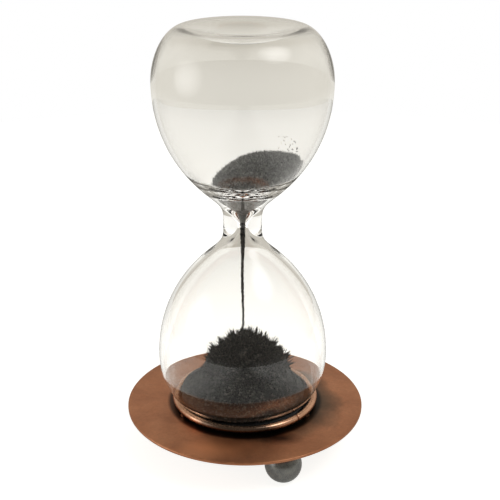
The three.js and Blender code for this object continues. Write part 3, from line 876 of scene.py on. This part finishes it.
def stream():
    """A wavering thread of filings that thins as it falls, with loose grains along it."""
    rng = np.random.default_rng(61)
    steps, sides = 190, 14
    z = np.linspace(STREAM_BOTTOM, STREAM_TOP, steps)
    share = (STREAM_TOP - z) / (STREAM_TOP - STREAM_BOTTOM)
    a = around(sides)
    sway = np.stack([0.28 * np.sin(share * 9 + 0.4) * share, 0.2 * np.cos(share * 7) * share], 1)
    rough = 1 + 0.30 * rng.uniform(-1, 1, (steps, sides))
    r = np.interp(share, STREAM_SHARE, STREAM_RADIUS)[:, None] * rough
    x, y = sway[:, :1] + r * np.cos(a), sway[:, 1:] + r * np.sin(a)
    points = np.stack([x, y, np.repeat(z[:, None], sides, 1)], -1).reshape(-1, 3)
    faces = grid_faces(steps, sides).tolist()
    faces.append(list(range(sides))[::-1])
    faces.append(list(range(len(points) - sides, len(points))))

    fallen = rng.uniform(0, 1, STREAM_GRAINS)
    angle = rng.uniform(0, TURN, STREAM_GRAINS)
    spread = np.interp(fallen, [0, 0.35], [0.9, 0.5]) * rng.uniform(0.7, 1.25, STREAM_GRAINS)
    x = np.interp(fallen, share[::-1], sway[::-1, 0]) + spread * np.cos(angle)
    y = np.interp(fallen, share[::-1], sway[::-1, 1]) + spread * np.sin(angle)
    centres = np.stack([x, y, STREAM_TOP + (STREAM_BOTTOM - STREAM_TOP) * fallen], 1)
    inside = np.hypot(x, y) < wall_radius(np.clip(np.abs(centres[:, 2]), 0.8, 57), 0.3)
    centres = centres[inside]
    n = len(centres)
    directions = rng.normal(0, 0.5, (n, 3)) + (0, 0, 1)
    grains = chips(centres, directions, rng.uniform(0.5, 1.1, n), rng.uniform(0.10, 0.2, n), rng)
    points, faces = join((points, faces), grains)
    return points * MM + (GLASS_X, GLASS_Y, NECK_Z), faces


for name, mesh_data, iron, node in (
    ("bed_of_filings", bed(), BED_IRON_PAINTED_SHADE, "filings_bed"),
    ("crown_of_filings", crown(), CROWN_IRON_PAINTED_SHADE, "filings_crown"),
    ("upper_filings", upper_heap(), HEAP_IRON_PAINTED_LIGHT, "filings_upper"),
    ("falling_filings", stream(), CROWN_IRON_PAINTED_SHADE, "filings_stream"),
):
    new_piece(name, mesh_data, iron, "glass", [node], smooth=False)

# ---------------------------------------------------------------- floor, light and camera

FLOOR_RADIUS, FLOOR_SIDES = 0.575, 96
FLOOR_TONE = (0.52, 0.52, 0.51)
FLOOR_GLOW, FLOOR_BLUR_GLOW = 0.85, 0.28  # emission that the camera sees, and that a rough metal mirrors


def floor_material():
    """A pale table top. It shines a little, straight on and through glass, to run into the white backdrop.
    In glass its mirror image is dark near the object, as if a dark room stood before it."""
    n = Look("floor")
    path = n.add("LightPath").outputs
    mirrored = n.math("MULTIPLY", path["Is Singular Ray"], path["Is Reflection Ray"])
    x, y, _ = n.apart(n.place())
    aside = n.math("ABSOLUTE", n.math("SUBTRACT", x, 0.012))
    mirror_tone = n.ramp(aside, (0.05, grey(0.07)), (0.12, grey(0.45)))
    behind = n.ramp(y, (0.02, grey(0.0)), (0.05, grey(1.0)), (0.10, grey(1.0)), (0.24, grey(0.72)),
                    (0.44, grey(0.70)), (0.51, grey(0.66)), (0.57, grey(0.57)))
    ahead = n.ramp(n.math("SUBTRACT", 0.1, y), (0.05, grey(0.0)), (0.08, grey(1.0)))
    beside = n.ramp(aside, (0.03, grey(0.16)), (0.09, grey(0.95)))
    table = n.math("MULTIPLY_ADD", ahead, beside, behind)
    glow = n.math("MULTIPLY", path["Is Transmission Ray"], table)
    blurred = n.math("SUBTRACT", path["Is Glossy Ray"], path["Is Singular Ray"], clamp=True)
    glow = n.math("MULTIPLY_ADD", blurred, FLOOR_BLUR_GLOW, glow)
    glow = n.math("MULTIPLY_ADD", path["Is Camera Ray"], FLOOR_GLOW, glow)
    n.set(
        Base_Color=n.mix(mirrored, FLOOR_TONE, mirror_tone),
        Roughness=0.9,
        Specular_IOR_Level=0.0,
        Emission_Color=(1.0, 1.0, 0.98),
        Emission_Strength=glow,
    )
    return n.material


def floor():
    """A round table top at the height of the feet."""
    a = around(FLOOR_SIDES)
    points = np.stack([FLOOR_RADIUS * np.cos(a), FLOOR_RADIUS * np.sin(a), 0 * a], 1)
    mesh = bpy.data.meshes.new("floor")
    mesh.from_pydata(points.tolist(), [], [list(range(FLOOR_SIDES))])
    mesh.materials.append(floor_material())
    piece = bpy.data.objects.new("floor", mesh)
    bpy.context.scene.collection.objects.link(piece)


LAMP_AIM = Vector((0, 0, 0.11))
LAMP_DISTANCE, LAMP_STEP = 0.75, 0.002
LAMP_SHARES = (1.0, 0.86, 0.72, 0.56, 0.36)


def softbox(name, azimuth, elevation, width, height, power):
    """Oval lamps one in front of the other, aimed at the glass: bright in the middle and soft at the edge."""
    a, e = math.radians(azimuth), math.radians(elevation)
    away = Vector((math.sin(a) * math.cos(e), -math.cos(a) * math.cos(e), math.sin(e)))
    for k, share in enumerate(LAMP_SHARES):
        light = bpy.data.lights.new(f"{name}_{k}", "AREA")
        light.shape = "ELLIPSE"
        light.size, light.size_y = width * share, height * share
        light.energy = power * share**2
        lamp = bpy.data.objects.new(f"{name}_{k}", light)
        bpy.context.scene.collection.objects.link(lamp)
        lamp.location = LAMP_AIM + away * (LAMP_DISTANCE - LAMP_STEP * k)
        lamp.rotation_euler = (-away).to_track_quat("-Z", "Y").to_euler()
        lamp.visible_camera = lamp.visible_transmission = False


def world():
    """A grey studio, darker toward -Y and above, lighter below the horizon. The camera itself sees white."""
    studio = bpy.data.worlds.new("studio")
    bpy.context.scene.world = studio
    studio.use_nodes = True
    n = Tree(studio.node_tree)
    _, y, z = n.apart(n.add("TexCoord").outputs["Generated"])

    def by(direction, *stops):
        """A ramp whose stops go from -1 to 1."""
        scaled = n.math("MULTIPLY_ADD", direction, 0.5, 0.5)
        return n.ramp(scaled, *(((position + 1) / 2, colour) for position, colour in stops))

    by_height = by(z, (-0.25, (0.82, 0.80, 0.74)), (-0.215, (0.74, 0.715, 0.655)),
                   (-0.16, (0.61, 0.58, 0.515)), (0.06, (0.57, 0.54, 0.48)),
                   (0.55, (0.60, 0.57, 0.51)), (0.9, (0.48, 0.45, 0.40)))
    by_side = by(y, (-0.95, grey(0.34)), (-0.3, grey(0.66)), (0.3, grey(1.0)))
    seen = n.mix(n.add("LightPath").outputs["Is Camera Ray"], n.product(by_height, by_side), grey(1.0))
    give(n.tree.nodes["Background"].inputs["Color"], seen)


CAMERA_PLACE = (0, -0.389275, PLATE_TOP + 0.22254)
CAMERA_PITCH, CAMERA_YAW, CAMERA_ROLL = math.radians(21.565), math.radians(0.292), math.radians(0.149)
SENSOR_WIDTH, FOCAL_LENGTH = 36, 74.19  # in millimetres


def camera():
    """A camera at the eye's place, looking down at the glass."""
    data = bpy.data.cameras.new("camera")
    data.sensor_width, data.lens, data.clip_start = SENSOR_WIDTH, FOCAL_LENGTH, 0.01
    piece = bpy.data.objects.new("camera", data)
    bpy.context.scene.collection.objects.link(piece)
    piece.location = CAMERA_PLACE
    turn = Matrix.Rotation(-CAMERA_YAW, 3, "Z") @ Matrix.Rotation(math.pi / 2 - CAMERA_PITCH, 3, "X")
    piece.rotation_euler = (turn @ Matrix.Rotation(CAMERA_ROLL, 3, "Z")).to_euler()
    bpy.context.scene.camera = piece


floor()
softbox("left_box", -72, 13, 0.60, 0.60, 0.54)
softbox("right_box", 60, 53, 0.54, 0.46, 0.58)
world()
camera()

bpy.context.scene.view_settings.view_transform = "Standard"
bpy.context.scene.cycles.max_bounces = 32
bpy.context.scene.cycles.transmission_bounces = 32
bpy.context.scene.cycles.glossy_bounces = 12
